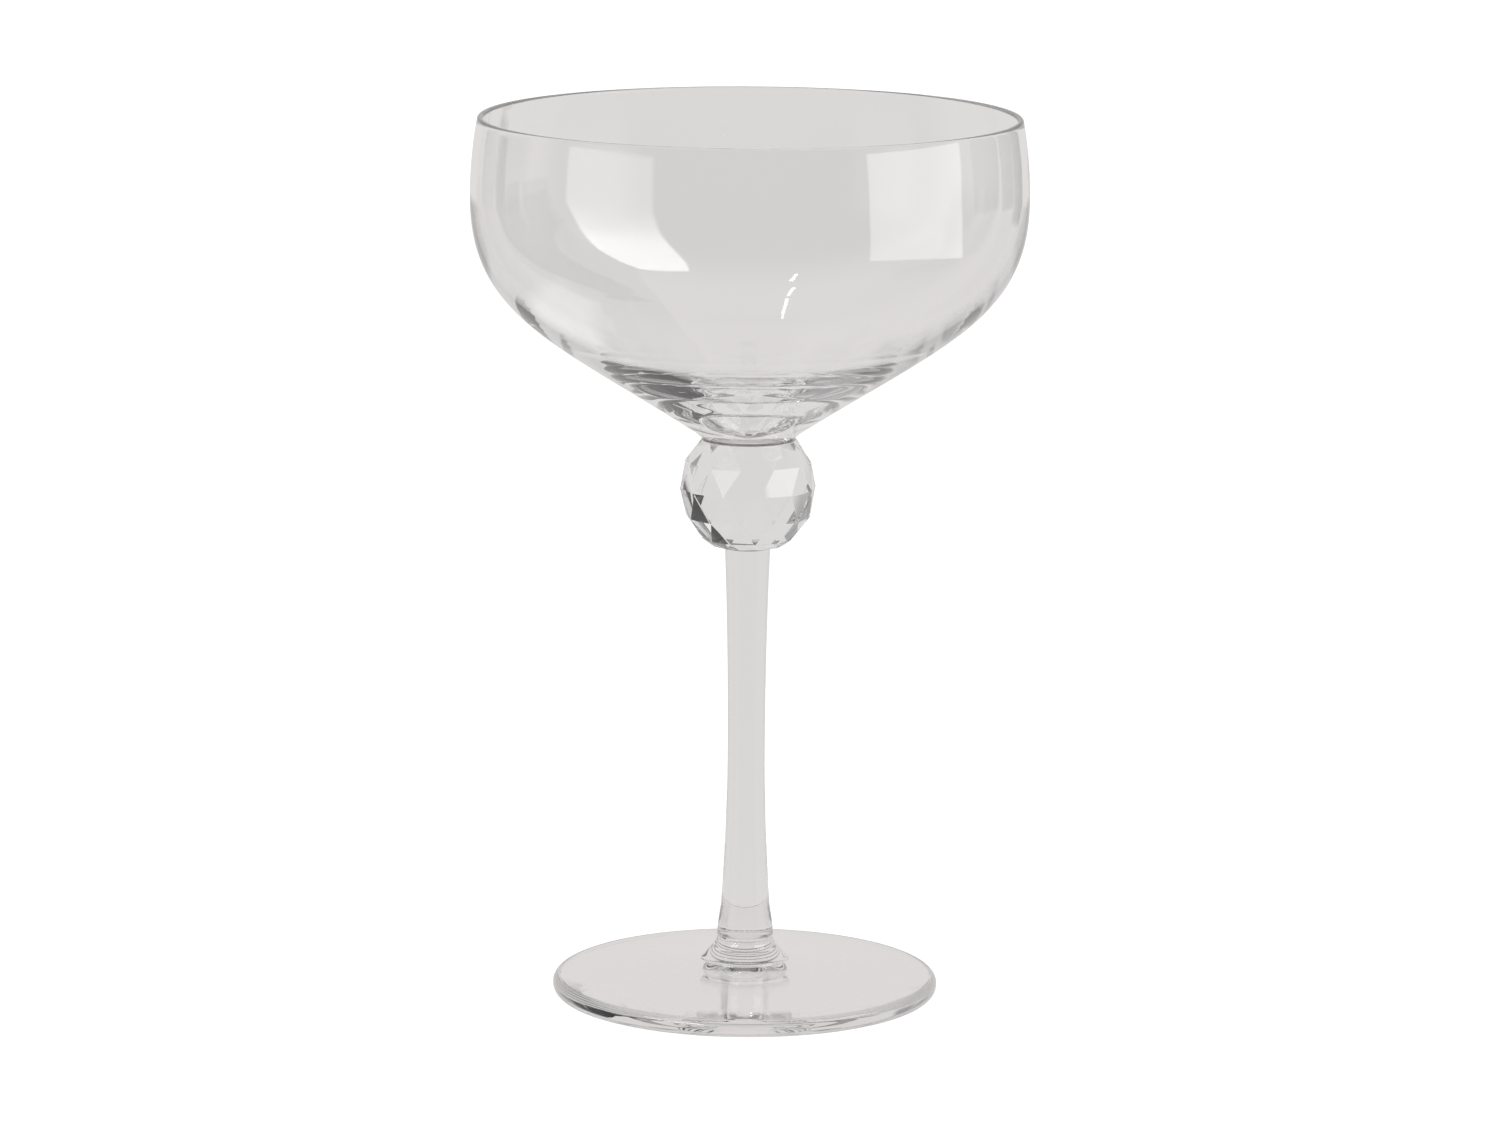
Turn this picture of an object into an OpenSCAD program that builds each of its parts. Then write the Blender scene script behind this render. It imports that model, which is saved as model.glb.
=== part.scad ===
// Cocktail glass: a rounded martini bowl on a faceted crystal ball, a drawn stem and a round foot.
// The origin is the centre of the ring that the foot stands on, and +Z runs up the glass's axis.

/* [Whole glass] */
// Height from the table to the rim
total_h = 176.5; // [172:0.5:181]

/* [Bowl] */
// Outer diameter of the bowl at its widest
bowl_d = 110; // [104:1:116]
// Height of the widest point above the table
widest_z = 160.5; // [158:0.5:164]
// Glass thickness at the rim and lip
rim_wall = 1.2; // [0.9:0.1:1.6]
// Glass thickness where the bowl's shoulder meets its floor
shoulder_wall = 2.2; // [1.8:0.1:2.6]
// Glass thickness at the bottom of the bowl, above the seat
base_wall = 5.4; // [4.6:0.2:6.2]
// Slope of the bowl's outside where it leaves the neck
flare_angle = 33.7; // [32:0.1:36]
// Radius of the gentle inward curl of the lip, in profile
lip_curl_r = 86; // [70:1:120]
// Diameter of the short neck that is ground flat to sit on the ball
neck_d = 18.8; // [18.2:0.1:19.2]
// Height of the neck
neck_h = 0.2; // [0.2:0.1:0.8]

/* [Ball] */
// Diameter of the sphere that the ball's corners lie on
ball_d = 27.2; // [27:0.1:27.6]
// Height of the ball's centre above the table
ball_z = 102.7; // [102:0.1:103.5]
// Number of corners in each ring
ball_corners = 12; // [10:1:14]

/* [Bonds] */
// Thickness of the clear adhesive film under the bowl
bowl_film = 0.6; // [0.4:0.1:0.8]
// Diameter of the clear adhesive film under the bowl
bowl_film_d = 18.4; // [17.6:0.1:18.5]
// Thickness of the clear adhesive bead on top of the stem
stem_film = 0.6; // [0.4:0.1:0.8]
// Diameter of the clear adhesive bead on top of the stem
stem_film_d = 9.7; // [9.3:0.1:10.2]

/* [Stem] */
// Diameter at the top
stem_top_d = 9; // [8.6:0.1:9.2]
// Diameter at the waist, the thinnest place
waist_d = 7.4; // [7:0.1:8]
// Height of the waist above the table
waist_z = 48; // [44:1:52]
// Diameter just above the fused joint with the foot
stem_foot_d = 11.2; // [10.8:0.1:11.4]
// Height of the fused joint with the foot
joint_z = 11.4; // [11:0.1:12]

/* [Foot] */
// Outer diameter of the foot
foot_d = 77; // [72:1:82]
// Thickness of the foot near its edge
foot_edge = 3.7; // [3.2:0.1:4]
// Height of the foot's surface where the collar's fillet ends
foot_dome = 6.8; // [6.4:0.1:7.2]
// Radius at which the collar's fillet ends
collar_r = 8.8; // [8.4:0.1:9.6]
// Inner radius of the flat ring that the foot stands on
stand_in_r = 31; // [28:0.5:32.5]
// Depth of the hollow under the foot
kick = 2.6; // [2.2:0.1:3]
// Radius of the ground and polished pontil mark in the middle of the hollow
pontil_r = 10; // [8:0.5:11]
// Extra depth of the pontil mark
pontil_depth = 0.9; // [0.5:0.1:1]

/* [Hidden] */
$fn = 160;

ball_r = ball_d / 2;
widest_r = bowl_d / 2;
neck_r = neck_d / 2;
foot_r = foot_d / 2;
waist_r = waist_d / 2;
stem_foot_r = stem_foot_d / 2;

// Rings of the ball's corners, from the flat on top to the flat underneath, by latitude
ball_rings = [45, 23, 0, -25, -48, -58];
corner_pitch = 360 / ball_corners;
// Direction of the first corner of the top ring, about the axis
first_corner = -81;

ball_top_z = ball_z + ball_r * sin(ball_rings[0]);
ball_foot_z = ball_z + ball_r * sin(ball_rings[5]);
seat_z = ball_top_z + bowl_film;
floor_z = seat_z + base_wall;
stem_top_z = ball_foot_z - stem_film;

// A point at t on a cubic curve with the four control points p
function cubic(p, t) = pow(1 - t, 3) * p[0] + 3 * pow(1 - t, 2) * t * p[1]
    + 3 * (1 - t) * t * t * p[2] + t * t * t * p[3];
// The curve's direction at t
function cubic_way(p, t) = pow(1 - t, 2) * (p[1] - p[0]) + 2 * (1 - t) * t * (p[2] - p[1])
    + t * t * (p[3] - p[2]);
function unit(v) = v / norm(v);
function polar(r, a) = r * [cos(a), sin(a)];
// Points along a cubic curve, without its first one
function curve(p, steps) = [for (i = [1:steps]) cubic(p, i / steps)];
// Points along an arc from angle a to angle b, both ends included
function arc(centre, r, a, b, steps) = [for (i = [0:steps]) centre + polar(r, a + (b - a) * i / steps)];

// Outside of the bowl, from the neck to the widest point
flare_handle = 35.5;
widest_handle = 23;
neck_top = [neck_r, seat_z + neck_h];
bowl_outer = [
    neck_top,
    neck_top + polar(flare_handle, flare_angle),
    [widest_r, widest_z - widest_handle],
    [widest_r, widest_z]
];
// The inside runs at a slowly changing distance from the outside down to this place on the curve
shoulder_t = 0.42;
function bowl_wall(t) = rim_wall + (shoulder_wall - rim_wall) * (1 - t) / (1 - shoulder_t);
function bowl_inner(t) = let (way = unit(cubic_way(bowl_outer, t)))
    cubic(bowl_outer, t) + bowl_wall(t) * [-way.y, way.x];
shoulder = bowl_inner(shoulder_t);
// From the shoulder, one curve narrows the inside towards a small level spot at the axis
bowl_floor = [
    shoulder,
    shoulder - 16 * unit(cubic_way(bowl_outer, shoulder_t)),
    [2, floor_z],
    [0, floor_z]
];
lip_centre = [widest_r - lip_curl_r, widest_z];
lip_mid_r = lip_curl_r - rim_wall / 2;
lip_angle = asin((total_h - rim_wall / 2 - widest_z) / lip_mid_r);

module bowl() {
    color([0.85, 0.85, 0.84, 0.4])
        rotate_extrude()
            polygon(concat(
                [[0, seat_z], [neck_r, seat_z], neck_top],
                curve(bowl_outer, 26),
                arc(lip_centre, lip_curl_r, lip_angle / 5, lip_angle, 4),
                arc(lip_centre + polar(lip_mid_r, lip_angle), rim_wall / 2,
                    lip_angle + 22.5, lip_angle + 157.5, 6),
                arc(lip_centre, lip_curl_r - rim_wall, lip_angle, 0, 5),
                [for (i = [1:18]) bowl_inner(1 - (1 - shoulder_t) * i / 18)],
                curve(bowl_floor, 14)
            ));
}

// A thin disc of clear adhesive with a rounded edge, lying on the height z
module bond(z, thick, d) {
    color([0.9, 0.9, 0.88, 0.4])
        rotate_extrude()
            polygon(concat(
                [[0, z]],
                arc([d / 2 - thick / 2, z + thick / 2], thick / 2, -90, 90, 8),
                [[0, z + thick]]
            ));
}

module bowl_bond() {
    bond(ball_top_z, bowl_film, bowl_film_d);
}

module stem_bond() {
    bond(stem_top_z, stem_film, stem_film_d);
}

// Corners of the ball: every other ring is turned by half a pitch, which makes the facets triangles
function ball_corner(ring, i) = let (
        latitude = ball_rings[ring],
        turn = first_corner + corner_pitch * (i + (ring % 2) / 2)
    )
    [ball_r * cos(latitude) * cos(turn), ball_r * cos(latitude) * sin(turn), ball_z + ball_r * sin(latitude)];

module ball() {
    last = len(ball_rings) - 1;
    n = ball_corners;
    corners = [for (ring = [0:last], i = [0:n - 1]) ball_corner(ring, i)];
    // Each corner makes one facet with the ring below it and one with the ring above it.
    // Its two neighbours there are the corners numbered i + turn and i + turn + 1.
    facets_down = [
        for (ring = [0:last - 1], i = [0:n - 1]) let (turn = ring % 2 == 0 ? n - 1 : 0)
            [ring * n + i, (ring + 1) * n + (i + turn + 1) % n, (ring + 1) * n + (i + turn) % n]
    ];
    facets_up = [
        for (ring = [1:last], i = [0:n - 1]) let (turn = ring % 2 == 0 ? n - 1 : 0)
            [ring * n + i, (ring - 1) * n + (i + turn) % n, (ring - 1) * n + (i + turn + 1) % n]
    ];
    top_flat = [for (i = [n - 1:-1:0]) i];
    under_flat = [for (i = [0:n - 1]) last * n + i];
    color([0.82, 0.83, 0.84, 0.5])
        polyhedron(corners, concat(facets_down, facets_up, [top_flat, under_flat]));
}

// Radius of the stem at the height z: a power law widens it each way from the waist
flare_z = 18;
flare_r = 4.85;
function stem_r(z) = z > waist_z
    ? waist_r + (stem_top_d / 2 - waist_r) * pow((z - waist_z) / (stem_top_z - waist_z), 2.2)
    : waist_r + (flare_r - waist_r) * pow((waist_z - z) / (waist_z - flare_z), 1.7);
// Below the power law, the stem flares to the bead that the hot joint leaves
bead_r = 0.5;
stem_flare = [
    [stem_foot_r, joint_z + 2 * bead_r],
    [stem_foot_r - 0.15, joint_z + 3],
    [flare_r + 0.25, flare_z - 1.8],
    [flare_r, flare_z]
];

module stem() {
    lower_steps = 12;
    upper_steps = 14;
    color([0.83, 0.83, 0.82, 0.4])
        rotate_extrude()
            polygon(concat(
                [[0, joint_z]],
                arc([stem_foot_r - bead_r, joint_z + bead_r], bead_r, -90, 0, 4),
                curve(stem_flare, 8),
                [for (i = [1:lower_steps]) let (z = flare_z + (waist_z - flare_z) * i / lower_steps)
                    [stem_r(z), z]],
                [for (i = [1:upper_steps]) let (z = waist_z + (stem_top_z - waist_z) * i / upper_steps)
                    [stem_r(z), z]],
                [[0, stem_top_z]]
            ));
}

// Outside of the foot: collar, fillet, low dome, rounded edge
collar_top_r = stem_foot_r - bead_r;
edge_top_r = 1.6;
edge_under_r = 1.8;
dome_end = [foot_r - edge_top_r, foot_edge];
collar = [
    [collar_top_r + 0.6, joint_z - 0.6],
    [collar_top_r + 1.2, joint_z - 2.2],
    [collar_r - 0.4, foot_dome + 1],
    [collar_r, foot_dome]
];
dome = [
    [collar_r, foot_dome],
    [collar_r + 9, foot_dome - 1.8],
    [foot_r - 13, foot_edge + 0.4],
    dome_end
];
// Height of the hollow's roof at the radius r, level in the middle and where it meets the standing ring
function hollow_z(r) = kick * pow(1 - (r / stand_in_r) * (r / stand_in_r), 2);
pontil_curve_r = (pontil_r * pontil_r + pontil_depth * pontil_depth) / (2 * pontil_depth);
function pontil_z(r) = hollow_z(pontil_r) + pontil_depth - pontil_curve_r
    + sqrt(pontil_curve_r * pontil_curve_r - r * r);

module foot() {
    hollow_steps = 12;
    pontil_steps = 5;
    color([0.84, 0.84, 0.83, 0.4])
        rotate_extrude()
            polygon(concat(
                [for (i = [0:pontil_steps]) let (r = pontil_r * i / pontil_steps) [r, pontil_z(r)]],
                [for (i = [1:hollow_steps]) let (r = pontil_r + (stand_in_r - pontil_r) * i / hollow_steps)
                    [r, hollow_z(r)]],
                arc([foot_r - edge_under_r, edge_under_r], edge_under_r, -90, 0, 7),
                arc([foot_r - edge_top_r, foot_edge - edge_top_r], edge_top_r, 0, 90, 7),
                [for (i = [1:13]) cubic(dome, 1 - i / 14)],
                [for (i = [0:13]) cubic(collar, 1 - i / 14)],
                arc([collar_top_r, joint_z - 0.6], 0.6, 0, 90, 4),
                [[0, joint_z]]
            ));
}

bowl();
bowl_bond();
ball();
stem_bond();
stem();
foot();
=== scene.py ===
"""Looks for the cocktail glass: clear blown glass, a cut crystal ball and plain studio light."""
import math

import bmesh
import bpy
from mathutils import Matrix, Vector


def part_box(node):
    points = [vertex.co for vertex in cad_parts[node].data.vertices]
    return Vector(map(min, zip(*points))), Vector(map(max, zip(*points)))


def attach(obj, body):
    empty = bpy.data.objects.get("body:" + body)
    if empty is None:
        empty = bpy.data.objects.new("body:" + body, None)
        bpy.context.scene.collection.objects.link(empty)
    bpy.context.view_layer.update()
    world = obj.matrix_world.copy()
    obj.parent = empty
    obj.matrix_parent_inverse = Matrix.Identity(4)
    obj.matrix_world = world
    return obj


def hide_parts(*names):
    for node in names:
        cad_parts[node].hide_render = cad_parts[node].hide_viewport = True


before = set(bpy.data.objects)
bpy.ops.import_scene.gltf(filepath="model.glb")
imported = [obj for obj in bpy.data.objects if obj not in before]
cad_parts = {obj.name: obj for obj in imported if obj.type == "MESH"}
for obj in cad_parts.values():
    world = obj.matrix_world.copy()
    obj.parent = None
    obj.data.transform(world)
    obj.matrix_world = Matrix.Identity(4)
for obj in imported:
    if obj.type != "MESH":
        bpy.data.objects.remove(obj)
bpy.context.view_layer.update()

MM = 0.001
GLASS, JOINT = 0, 1    # material slots of every piece: glass to air, and glass to the next piece
AROUND = 240           # steps round the axis
AXIS_RADIUS = 1e-7     # a point nearer the axis than this lies on it


# ---------------------------------------------------------------- outlines
# An outline is a list of (radius, height) points in metres, from the axis round to the axis.

def polar(length, degrees):
    return Vector((math.cos(math.radians(degrees)), math.sin(math.radians(degrees)))) * length


def cubic(p, t):
    return p[0] * (1 - t) ** 3 + p[1] * 3 * (1 - t) ** 2 * t + p[2] * 3 * (1 - t) * t * t + p[3] * t ** 3


def cubic_way(p, t):
    way = (p[1] - p[0]) * (1 - t) ** 2 + (p[2] - p[1]) * 2 * (1 - t) * t + (p[3] - p[2]) * t * t
    return way.normalized()


def curve(p, steps):
    return [cubic(p, i / steps) for i in range(1, steps + 1)]


def arc(centre, radius, start, end, steps):
    return [centre + polar(radius, start + (end - start) * i / steps) for i in range(steps + 1)]


def top(node):
    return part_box(node)[1][2]


def bottom(node):
    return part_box(node)[0][2]


def radius_of(node):
    low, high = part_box(node)
    return max(high[0], high[1], -low[0], -low[1])


def joint_radius(bond):
    """Radius of the flat, bonded face of an adhesive film, inside its rounded edge."""
    return radius_of(bond) - (top(bond) - bottom(bond)) / 2


# ---------------------------------------------------------------- meshes

def finish_mesh(name, bm, materials, crease=35):
    """Turns bm into a piece: outward faces, edges sharp above crease degrees, and the slots' materials."""
    bmesh.ops.recalc_face_normals(bm, faces=bm.faces)
    for face in bm.faces:
        face.smooth = True
    for edge in bm.edges:
        if len(edge.link_faces) == 2 and edge.calc_face_angle(0) > math.radians(crease):
            edge.smooth = False
    mesh = bpy.data.meshes.new(name)
    bm.to_mesh(mesh)
    bm.free()
    for material in materials:
        mesh.materials.append(material)
    piece = bpy.data.objects.new(name, mesh)
    bpy.context.scene.collection.objects.link(piece)
    return piece


def revolve(name, outline, joints, materials):
    """Spins an outline round the axis. joints holds the numbers of its steps that touch the next piece."""
    bm = bmesh.new()
    rings = []
    for radius, height in outline:
        if radius < AXIS_RADIUS:
            rings.append([bm.verts.new((0, 0, height))])
        else:
            rings.append([
                bm.verts.new((radius * math.cos(a), radius * math.sin(a), height))
                for a in (2 * math.pi * i / AROUND for i in range(AROUND))
            ])
    for step, (low, high) in enumerate(zip(rings, rings[1:])):
        for i in range(AROUND):
            j = (i + 1) % AROUND
            if len(low) == 1:
                face = bm.faces.new((low[0], high[i], high[j]))
            elif len(high) == 1:
                face = bm.faces.new((low[i], low[j], high[0]))
            else:
                face = bm.faces.new((low[i], low[j], high[j], high[i]))
            face.material_index = JOINT if step in joints else GLASS
    return finish_mesh(name, bm, materials)


# ---------------------------------------------------------------- node helpers

def new_material(name):
    material = bpy.data.materials.new(name)
    material.use_nodes = True
    nodes = material.node_tree.nodes
    return material, nodes, material.node_tree.links, nodes["Principled BSDF"]


def feed(links, value, socket):
    """Gives a socket another node's output to read, or a plain value."""
    if isinstance(value, bpy.types.NodeSocket):
        links.new(value, socket)
    else:
        socket.default_value = value


def remap(nodes, links, value, source, target=(0, 1), smooth=True):
    """Maps an output from the range source to the range target."""
    node = nodes.new("ShaderNodeMapRange")
    if smooth:
        node.interpolation_type = "SMOOTHSTEP"
    for socket, number in zip(("From Min", "From Max", "To Min", "To Max"), (*source, *target)):
        feed(links, number, node.inputs[socket])
    feed(links, value, node.inputs["Value"])
    return node.outputs["Result"]


def combine(nodes, links, operation, first, second):
    """Applies a maths operation to two outputs or values."""
    node = nodes.new("ShaderNodeMath")
    node.operation = operation
    feed(links, first, node.inputs[0])
    feed(links, second, node.inputs[1])
    return node.outputs["Value"]


def blend(nodes, links, factor, first, second):
    """Goes from the first colour to the second as factor goes from 0 to 1."""
    node = nodes.new("ShaderNodeMix")
    node.data_type = "RGBA"
    feed(links, factor, node.inputs["Factor"])
    feed(links, first, node.inputs["A"])
    feed(links, second, node.inputs["B"])
    return node.outputs["Result"]


def coordinates_of(nodes, links, kind):
    """The X, Y and Z outputs of one kind of texture coordinates."""
    place = nodes.new("ShaderNodeTexCoord")
    split = nodes.new("ShaderNodeSeparateXYZ")
    links.new(place.outputs[kind], split.inputs["Vector"])
    return split.outputs


# ---------------------------------------------------------------- materials

def glass(name, colour, ior, waviness=0):
    """Clear glass, with a faint hand-made waviness and the odd smear in the polish."""
    wave_size = 14 * MM
    material, nodes, links, shader = new_material(name)
    shader.inputs["Base Color"].default_value = (*colour, 1)
    shader.inputs["Transmission Weight"].default_value = 1
    shader.inputs["IOR"].default_value = ior
    place = nodes.new("ShaderNodeTexCoord")
    smear = nodes.new("ShaderNodeTexNoise")
    smear.inputs["Scale"].default_value = 60
    smear.inputs["Detail"].default_value = 4
    links.new(place.outputs["Object"], smear.inputs["Vector"])
    rough = remap(nodes, links, smear.outputs["Fac"], (0.55, 0.8), (0, 0.006), smooth=False)
    links.new(rough, shader.inputs["Roughness"])
    if waviness > 0:
        wave = nodes.new("ShaderNodeTexNoise")
        wave.inputs["Scale"].default_value = 1 / wave_size
        wave.inputs["Detail"].default_value = 1
        bump = nodes.new("ShaderNodeBump")
        bump.inputs["Strength"].default_value = 1
        bump.inputs["Distance"].default_value = waviness
        links.new(place.outputs["Object"], wave.inputs["Vector"])
        links.new(wave.outputs["Fac"], bump.inputs["Height"])
        links.new(bump.outputs["Normal"], shader.inputs["Normal"])
    return material


def bonded(name):
    """Where two pieces of glass meet with nothing between them, light goes straight through."""
    material, nodes, links, shader = new_material(name)
    clear = nodes.new("ShaderNodeBsdfTransparent")
    links.new(clear.outputs["BSDF"], nodes["Material Output"].inputs["Surface"])
    nodes.remove(shader)
    return material


SODA_INDEX, CRYSTAL_INDEX, ADHESIVE_INDEX = 1.52, 1.56, 1.5
HAND_MADE = 0.012 * MM   # height of the waves in the blown and drawn glass

soda_glass = glass("clear_glass", (0.992, 0.992, 0.992), SODA_INDEX, HAND_MADE)
# The foot's glass is a darker, pinker copy of the same clear glass: painted shade that makes the foot look
# darker than the bowl and stem.
shaded_foot_glass = glass("clear_glass_foot_painted_shade", (0.95, 0.943, 0.943), SODA_INDEX, HAND_MADE)
crystal = glass("cut_crystal", (0.992, 0.993, 0.995), CRYSTAL_INDEX)
adhesive = glass("clear_adhesive", (0.13, 0.12, 0.11), ADHESIVE_INDEX)
joint = bonded("bonded_joint")


# ---------------------------------------------------------------- bowl

def make_bowl():
    seat_z = bottom("bowl")
    rim_z = top("bowl")
    widest_r = radius_of("bowl")
    widest_z = rim_z - 16 * MM
    neck_r, neck_h = 9.4 * MM, 0.2 * MM
    neck_top = Vector((neck_r, seat_z + neck_h))
    rim_wall, shoulder_wall, base_wall = 1.2 * MM, 2.2 * MM, 5.4 * MM
    floor_z = seat_z + base_wall
    flare_angle, flare_reach = 33.7, 35.5 * MM
    side_reach = 23 * MM
    outer = [
        neck_top,
        neck_top + polar(flare_reach, flare_angle),
        Vector((widest_r, widest_z - side_reach)),
        Vector((widest_r, widest_z)),
    ]
    # The shoulder is this far along the outside curve, and the floor leaves it at a tangent
    shoulder_t = 0.42
    shoulder_reach, level_reach = 16 * MM, 2 * MM

    def inner(t):
        """The inside of the bowl, across from the point at t on the outside curve."""
        wall = rim_wall + (shoulder_wall - rim_wall) * (1 - t) / (1 - shoulder_t)
        way = cubic_way(outer, t)
        return cubic(outer, t) + Vector((-way.y, way.x)) * wall

    floor = [
        inner(shoulder_t),
        inner(shoulder_t) - cubic_way(outer, shoulder_t) * shoulder_reach,
        Vector((level_reach, floor_z)),
        Vector((0, floor_z)),
    ]

    def ripple(r):
        """Faint rings that the mould leaves in the thick glass at the bottom, fading out up the side."""
        height, pitch = 0.05 * MM, 8 * MM
        fade_in, fade_out, last_r = 4 * MM, 10 * MM, 36 * MM
        fade = min(1, r / fade_in) * max(0, min(1, (last_r - r) / fade_out))
        return height * math.sin(2 * math.pi * r / pitch) * fade

    lip_r = 86 * MM
    lip_centre = Vector((widest_r - lip_r, widest_z))
    lip_mid = lip_r - rim_wall / 2
    lip_angle = math.degrees(math.asin((rim_z - rim_wall / 2 - widest_z) / lip_mid))
    rim_centre = lip_centre + polar(lip_mid, lip_angle)
    steps = 60
    outline = [
        Vector((0, seat_z)),
        Vector((joint_radius("bowl_bond"), seat_z)),
        Vector((neck_r, seat_z)),
        *curve([neck_top, *outer[1:]], 90),
        *arc(lip_centre, lip_r, 0, lip_angle, 16)[1:],
        *arc(rim_centre, rim_wall / 2, lip_angle, lip_angle + 180, 14)[1:],
        *arc(lip_centre, lip_r - rim_wall, lip_angle, 0, 16)[1:],
        *[inner(1 - (1 - shoulder_t) * i / steps) for i in range(1, steps + 1)],
        *[p + Vector((0, ripple(p.x))) for p in curve(floor, 160)],
    ]
    return revolve("bowl_glass", outline, {0}, [soda_glass, joint])


# ---------------------------------------------------------------- bonds

def make_bond(name, node):
    low, high, edge = bottom(node), top(node), radius_of(node)
    half = (high - low) / 2
    outline = [
        Vector((0, low)),
        *arc(Vector((edge - half, low + half)), half, -90, 90, 16),
        Vector((0, high)),
    ]
    return revolve(name, outline, {0, len(outline) - 2}, [adhesive, joint])


# ---------------------------------------------------------------- ball

def make_ball():
    corner_r = 13.6 * MM
    latitudes = [45, 23, 0, -25, -48, -58]
    corners = 12
    first_corner = -81
    polish = 0.06 * MM   # width of the polished edge between two facets
    facet_crease = 7
    centre_z = top("ball") - corner_r * math.sin(math.radians(latitudes[0]))
    bm = bmesh.new()
    rings = []
    for ring, latitude in enumerate(latitudes):
        z = centre_z + corner_r * math.sin(math.radians(latitude))
        turns = [first_corner + 360 / corners * (i + (ring % 2) / 2) for i in range(corners)]
        flat = [polar(corner_r * math.cos(math.radians(latitude)), turn) for turn in turns]
        rings.append([bm.verts.new((p.x, p.y, z)) for p in flat])
    bm.faces.new(rings[0])
    bm.faces.new(rings[-1])
    for ring in range(len(rings) - 1):
        # The odd rings are turned by half a pitch, so each band is a zigzag of triangles
        even, odd = rings[ring + ring % 2], rings[ring + 1 - ring % 2]
        for i in range(corners):
            j = (i + 1) % corners
            bm.faces.new((even[i], odd[i], even[j]))
            bm.faces.new((odd[i], even[j], odd[j]))
    bmesh.ops.recalc_face_normals(bm, faces=bm.faces)
    bmesh.ops.bevel(
        bm, geom=list(bm.edges), offset=polish, offset_type="OFFSET", segments=2, profile=0.5,
        affect="EDGES", clamp_overlap=True)
    cut_joint(bm, top("ball"), joint_radius("bowl_bond"))
    cut_joint(bm, bottom("ball"), joint_radius("stem_bond"))
    return finish_mesh("cut_ball", bm, [crystal, joint], crease=facet_crease)


def cut_joint(bm, height, radius):
    """Divides the level face at height into a round joint and the glass that is left round it."""
    tolerance = 0.01 * MM
    sides = 96
    flat = max(
        (f for f in bm.faces if abs(f.calc_center_median().z - height) < tolerance),
        key=lambda f: f.calc_area())
    outer = list(flat.edges)
    bmesh.ops.delete(bm, geom=[flat], context="FACES_ONLY")
    disc = [polar(radius, 360 * i / sides) for i in range(sides)]
    middle = bm.faces.new([bm.verts.new((p.x, p.y, height)) for p in disc])
    middle.material_index = JOINT
    bmesh.ops.triangle_fill(bm, edges=outer + list(middle.edges), use_beauty=True)


# ---------------------------------------------------------------- stem and foot

STEM_BEAD = 0.5 * MM   # radius of the rounded edge where the stem meets the foot


def make_stem():
    low, high = bottom("stem"), top("stem")
    foot_r = radius_of("stem")
    top_r = 4.5 * MM
    waist_r, waist_z = 3.7 * MM, 48 * MM
    flare_r, flare_z = 4.85 * MM, 18 * MM
    flare = [
        Vector((foot_r, low + 2 * STEM_BEAD)),
        Vector((foot_r - 0.15 * MM, low + 3 * MM)),
        Vector((flare_r + 0.25 * MM, flare_z - 1.8 * MM)),
        Vector((flare_r, flare_z)),
    ]

    def side(z):
        """Radius at the height z, growing both ways from the waist."""
        if z > waist_z:
            return waist_r + (top_r - waist_r) * ((z - waist_z) / (high - waist_z)) ** 2.2
        return waist_r + (flare_r - waist_r) * ((waist_z - z) / (waist_z - flare_z)) ** 1.7

    steps = 80
    heights = [flare_z + (high - flare_z) * i / steps for i in range(1, steps + 1)]
    outline = [
        Vector((0, low)),
        *arc(Vector((foot_r - STEM_BEAD, low + STEM_BEAD)), STEM_BEAD, -90, 0, 10),
        *curve(flare, 24),
        *[Vector((side(z), z)) for z in heights],
        Vector((0, high)),
    ]
    return revolve("stem_glass", outline, {0, len(outline) - 2}, [soda_glass, joint])


def make_foot():
    joint_z = top("foot")
    edge_r = radius_of("foot")
    collar_top_r = radius_of("stem") - STEM_BEAD
    bead = 0.6 * MM
    collar_r, dome_z = 8.8 * MM, 6.8 * MM
    edge_z, upper, under = 3.7 * MM, 1.6 * MM, 1.8 * MM
    collar = [
        Vector((collar_top_r + bead, joint_z - bead)),
        Vector((collar_top_r + 1.2 * MM, joint_z - 2.2 * MM)),
        Vector((collar_r - 0.4 * MM, dome_z + 1 * MM)),
        Vector((collar_r, dome_z)),
    ]
    dome = [
        Vector((collar_r, dome_z)),
        Vector((collar_r + 9 * MM, dome_z - 1.8 * MM)),
        Vector((edge_r - 13 * MM, edge_z + 0.4 * MM)),
        Vector((edge_r - upper, edge_z)),
    ]
    stand_r, kick = 31 * MM, 2.6 * MM
    pontil_r, pontil_depth = 10 * MM, 0.9 * MM

    def cap(r, radius, depth):
        """Height above its edge of a spherical cap of that radius and depth, at the radius r."""
        sphere = (radius * radius + depth * depth) / (2 * depth)
        return depth - sphere + math.sqrt(sphere * sphere - r * r)

    def hollow(r):
        """Height of the hollow's roof, level in the middle and where it meets the standing ring."""
        return kick * (1 - (r / stand_r) ** 2) ** 2

    middle = [pontil_r * i / 12 for i in range(13)]
    around = [pontil_r + (stand_r - pontil_r) * i / 20 for i in range(1, 21)]
    outline = [
        *[Vector((r, hollow(pontil_r) + cap(r, pontil_r, pontil_depth))) for r in middle],
        *[Vector((r, hollow(r))) for r in around],
        *arc(Vector((edge_r - under, under)), under, -90, 0, 14),
        *arc(Vector((edge_r - upper, edge_z - upper)), upper, 0, 90, 14),
        *curve(dome[::-1], 40),
        *curve(collar[::-1], 30),
        *arc(Vector((collar_top_r, joint_z - bead)), bead, 0, 90, 10)[1:],
        Vector((0, joint_z)),
    ]
    return revolve("shaded_foot_glass", outline, {len(outline) - 2}, [shaded_foot_glass, joint])


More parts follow.
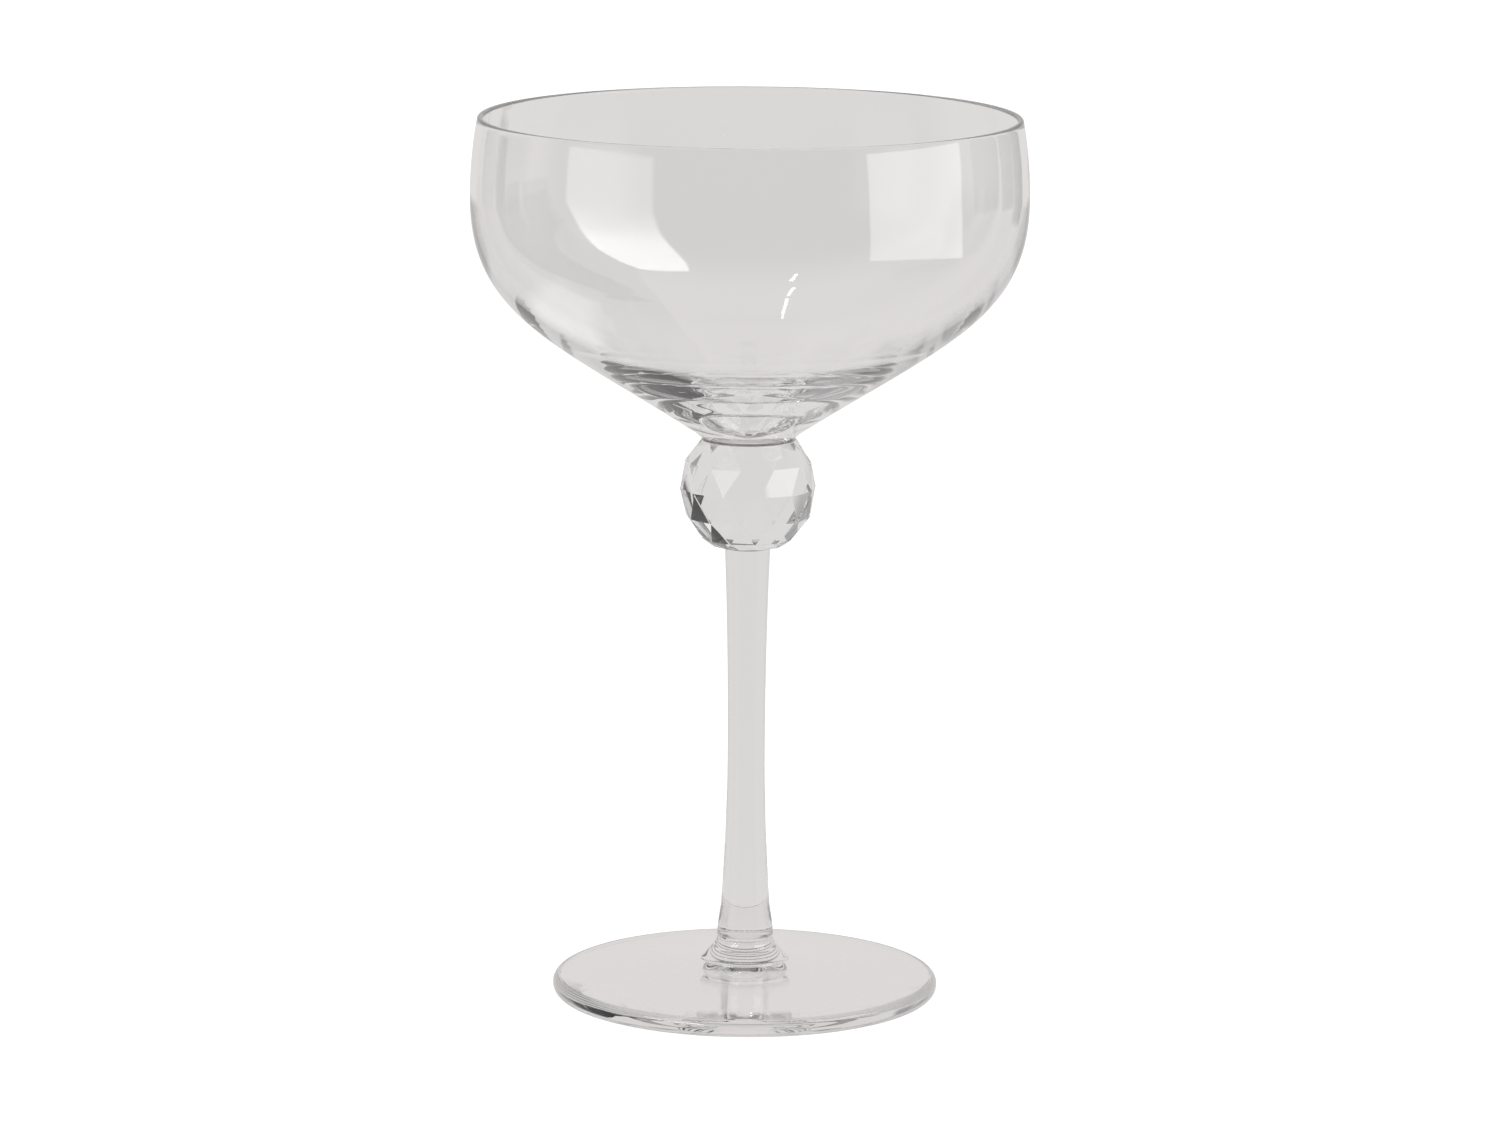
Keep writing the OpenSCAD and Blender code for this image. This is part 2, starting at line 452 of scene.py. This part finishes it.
pieces = {
    "bowl": (make_bowl(), "clear_glass"),
    "bowl_bond": (make_bond("bowl_film", "bowl_bond"), "clear_adhesive"),
    "ball": (make_ball(), "cut_crystal"),
    "stem_bond": (make_bond("stem_film", "stem_bond"), "clear_adhesive"),
    "stem": (make_stem(), "clear_glass"),
    "foot": (make_foot(), "clear_glass"),
}
for node, (piece, finish_slot) in pieces.items():
    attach(piece, "root")
    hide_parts(node)
    piece.visible_shadow = False
    piece.visible_diffuse = False


# ---------------------------------------------------------------- studio

BOWL_MIDDLE = Vector((0, 0, 122.5 * MM))   # what the cards face
FAR, NEAR = 1.5, 0.5                       # distances of the cards from the bowl
GLASS_BOUNCES = 160                        # light crosses the facets and the walls many times
CLEAR_BOUNCES = 64                         # bonded joints and the soft edges of cards


def make_floor():
    bm = bmesh.new()
    bmesh.ops.create_grid(bm, x_segments=1, y_segments=1, size=3)
    floor = finish_mesh("floor", bm, [])
    material, _, _, shader = new_material("pale_floor")
    shader.inputs["Base Color"].default_value = (0.9, 0.9, 0.9, 1)
    shader.inputs["Roughness"].default_value = 1
    shader.inputs["Specular IOR Level"].default_value = 0
    floor.data.materials.append(material)
    floor.visible_transmission = False
    floor.visible_glossy = False


def make_world():
    """White to the camera and for lighting the floor; what the glass bends or mirrors is a grey room."""
    white = (1.3, 1.3, 1.3, 1)
    lit_wall = (0.74, 0.722, 0.716, 1)
    dim_wall = (0.2, 0.195, 0.195, 1)
    world = bpy.data.worlds.new("studio")
    world.use_nodes = True
    nodes, links = world.node_tree.nodes, world.node_tree.links
    way = coordinates_of(nodes, links, "Generated")
    in_front = remap(nodes, links, way["Y"], (0.25, -0.25))
    above = remap(nodes, links, way["Z"], (-0.8, -0.1), (0.4, 1))
    room = blend(nodes, links, combine(nodes, links, "MULTIPLY", in_front, above), lit_wall, dim_wall)
    path = nodes.new("ShaderNodeLightPath")
    plain = combine(nodes, links, "MAXIMUM", path.outputs["Is Camera Ray"], path.outputs["Is Diffuse Ray"])
    links.new(blend(nodes, links, plain, room, white), nodes["Background"].inputs["Color"])
    bpy.context.scene.world = world


def hang(card, kind, low, high, soft, seen):
    """Lights a card for the glass alone, from low at its foot to high at its head.

    kind is the sort of texture coordinates that cover the card. seen is "mirrored" for a card that shows only
    in reflections, "through" for one that shows only by refraction, and "" for both.
    """
    rise_from, rise_to = 0.36, 0.7   # how far up the card its light begins and ends its change
    material, nodes, links, shader = new_material(card.name)
    nodes.remove(shader)
    place = coordinates_of(nodes, links, kind)
    across, up = (
        remap(nodes, links, combine(nodes, links, "PINGPONG", place[side], 0.5), (0, soft))
        for side in ("X", "Y")
    )
    strength = high
    if low != high:
        strength = remap(nodes, links, place["Y"], (rise_from, rise_to), (low, high))
    light = nodes.new("ShaderNodeEmission")
    feed(links, strength, light.inputs["Strength"])
    clear = nodes.new("ShaderNodeBsdfTransparent")
    mix = nodes.new("ShaderNodeMixShader")
    links.new(combine(nodes, links, "MULTIPLY", across, up), mix.inputs["Fac"])
    links.new(clear.outputs["BSDF"], mix.inputs[1])
    links.new(light.outputs["Emission"], mix.inputs[2])
    links.new(mix.outputs["Shader"], nodes["Material Output"].inputs["Surface"])
    card.data.materials.append(material)
    card.visible_camera = False
    card.visible_diffuse = False
    card.visible_shadow = False
    card.visible_transmission = seen != "mirrored"
    card.visible_glossy = seen != "through"


def make_softbox(name, radius, rows, low, high, soft):
    """A curved soft box that only reflections show. A row is a height in mm and the azimuths of its ends."""
    bm = bmesh.new()
    uv = bm.loops.layers.uv.new("UVMap")
    steps = 12
    lowest, highest = rows[0][0], rows[-1][0]
    grid = []
    for height, start, end in rows:
        turns = [math.radians(start + (end - start) * i / steps) for i in range(steps + 1)]
        grid.append([bm.verts.new((radius * math.sin(t), radius * math.cos(t), height * MM)) for t in turns])
    for low_row, high_row, (z0, *_), (z1, *_) in zip(grid, grid[1:], rows, rows[1:]):
        for i in range(steps):
            face = bm.faces.new((low_row[i], low_row[i + 1], high_row[i + 1], high_row[i]))
            corners = ((i, z0), (i + 1, z0), (i + 1, z1), (i, z1))
            for loop, (column, z) in zip(face.loops, corners):
                loop[uv].uv = (column / steps, (z - lowest) / (highest - lowest))
    hang(finish_mesh(name, bm, []), "UV", low, high, soft, "mirrored")


def make_card(name, azimuth, elevation, wide, tall, brightness, soft=0.15, roll=0, seen="", distance=FAR):
    """A flat, soft-edged card that faces the bowl, with its place and its size in degrees as seen from there.

    Azimuth 0 is behind the glass and 90 is to its right.
    """
    turn, rise = math.radians(azimuth), math.radians(elevation)
    way = Vector((math.sin(turn) * math.cos(rise), math.cos(turn) * math.cos(rise), math.sin(rise)))
    width, height = (2 * distance * math.tan(math.radians(angle / 2)) for angle in (wide, tall))
    bm = bmesh.new()
    bmesh.ops.create_grid(bm, x_segments=1, y_segments=1, size=0.5)
    bmesh.ops.scale(bm, vec=(width, height, 1), verts=bm.verts)
    card = finish_mesh(name, bm, [])
    place = Matrix.Translation(BOWL_MIDDLE + way * distance)
    facing = way.to_track_quat("Z", "Y").to_matrix().to_4x4()
    card.matrix_world = place @ facing @ Matrix.Rotation(math.radians(roll), 4, "Z")
    hang(card, "Generated", brightness, brightness, soft, seen)


def make_camera():
    """A long lens, a little above the rim, with the glass turned by a fraction of a degree in its view."""
    data = bpy.data.cameras.new("camera")
    camera = bpy.data.objects.new("camera", data)
    bpy.context.scene.collection.objects.link(camera)
    data.sensor_width = 36
    data.lens = 153.7
    data.clip_end = 20
    aim = Vector((0.0005, 0, 0.0875))
    camera.location = (0.0005, -1.25, 0.321)
    place = Matrix.Translation(camera.location)
    look = (aim - camera.location).to_track_quat("-Z", "Y").to_matrix().to_4x4()
    camera.matrix_world = place @ look @ Matrix.Rotation(math.radians(0.39), 4, "Z")
    bpy.context.scene.camera = camera


make_floor()
make_world()
make_softbox("softbox_left", 0.2, [
    (67, -154, -157),
    (75, -137, -158),
    (90, -130, -158),
    (111, -122, -155),
    (126, -118, -152),
    (143, -114, -149),
    (157, -109, -147),
    (206, -108, -146),
], 7, 2.3, 0.06)
make_softbox("softbox_right", 0.2, [
    (92, 89, 136),
    (120, 93, 137),
    (155, 95, 138),
    (208, 93, 138),
], 3.3, 3.3, 0.04)
make_card("table_left", -58, -42, 60, 26, 1.7, soft=0.3, seen="mirrored")
make_card("glow_left", -118, 0, 43, 60, 0.5, soft=0.3)
make_card("glow_right", 105, 0, 51, 60, 0.6, soft=0.3)
for name, azimuth, elevation, wide, tall, brightness, soft in (
    ("dark_flag_right", 38.5, 24, 13, 68, 0.01, 0.03),
    ("dark_flag_middle", 51, 29, 14, 66, 0.01, 0.03),
    ("dark_flag_far_right", 69, 29.5, 22, 65, 0.02, 0.03),
    ("grey_wall_left", -47, 18.5, 18, 53, 0.3, 0.25),
    ("grey_wall_far_left", -68, 25, 30, 66, 0.08, 0.3),
):
    make_card(name, azimuth, elevation, wide, tall, brightness, soft, seen="through", distance=NEAR)
make_card("lamp_over", -50, 76.5, 4.4, 1, 14, soft=0.05, roll=15)
make_camera()

scene = bpy.context.scene
scene.view_settings.view_transform = "Standard"
scene.cycles.max_bounces = GLASS_BOUNCES
scene.cycles.transmission_bounces = GLASS_BOUNCES
scene.cycles.glossy_bounces = GLASS_BOUNCES
scene.cycles.transparent_max_bounces = CLEAR_BOUNCES
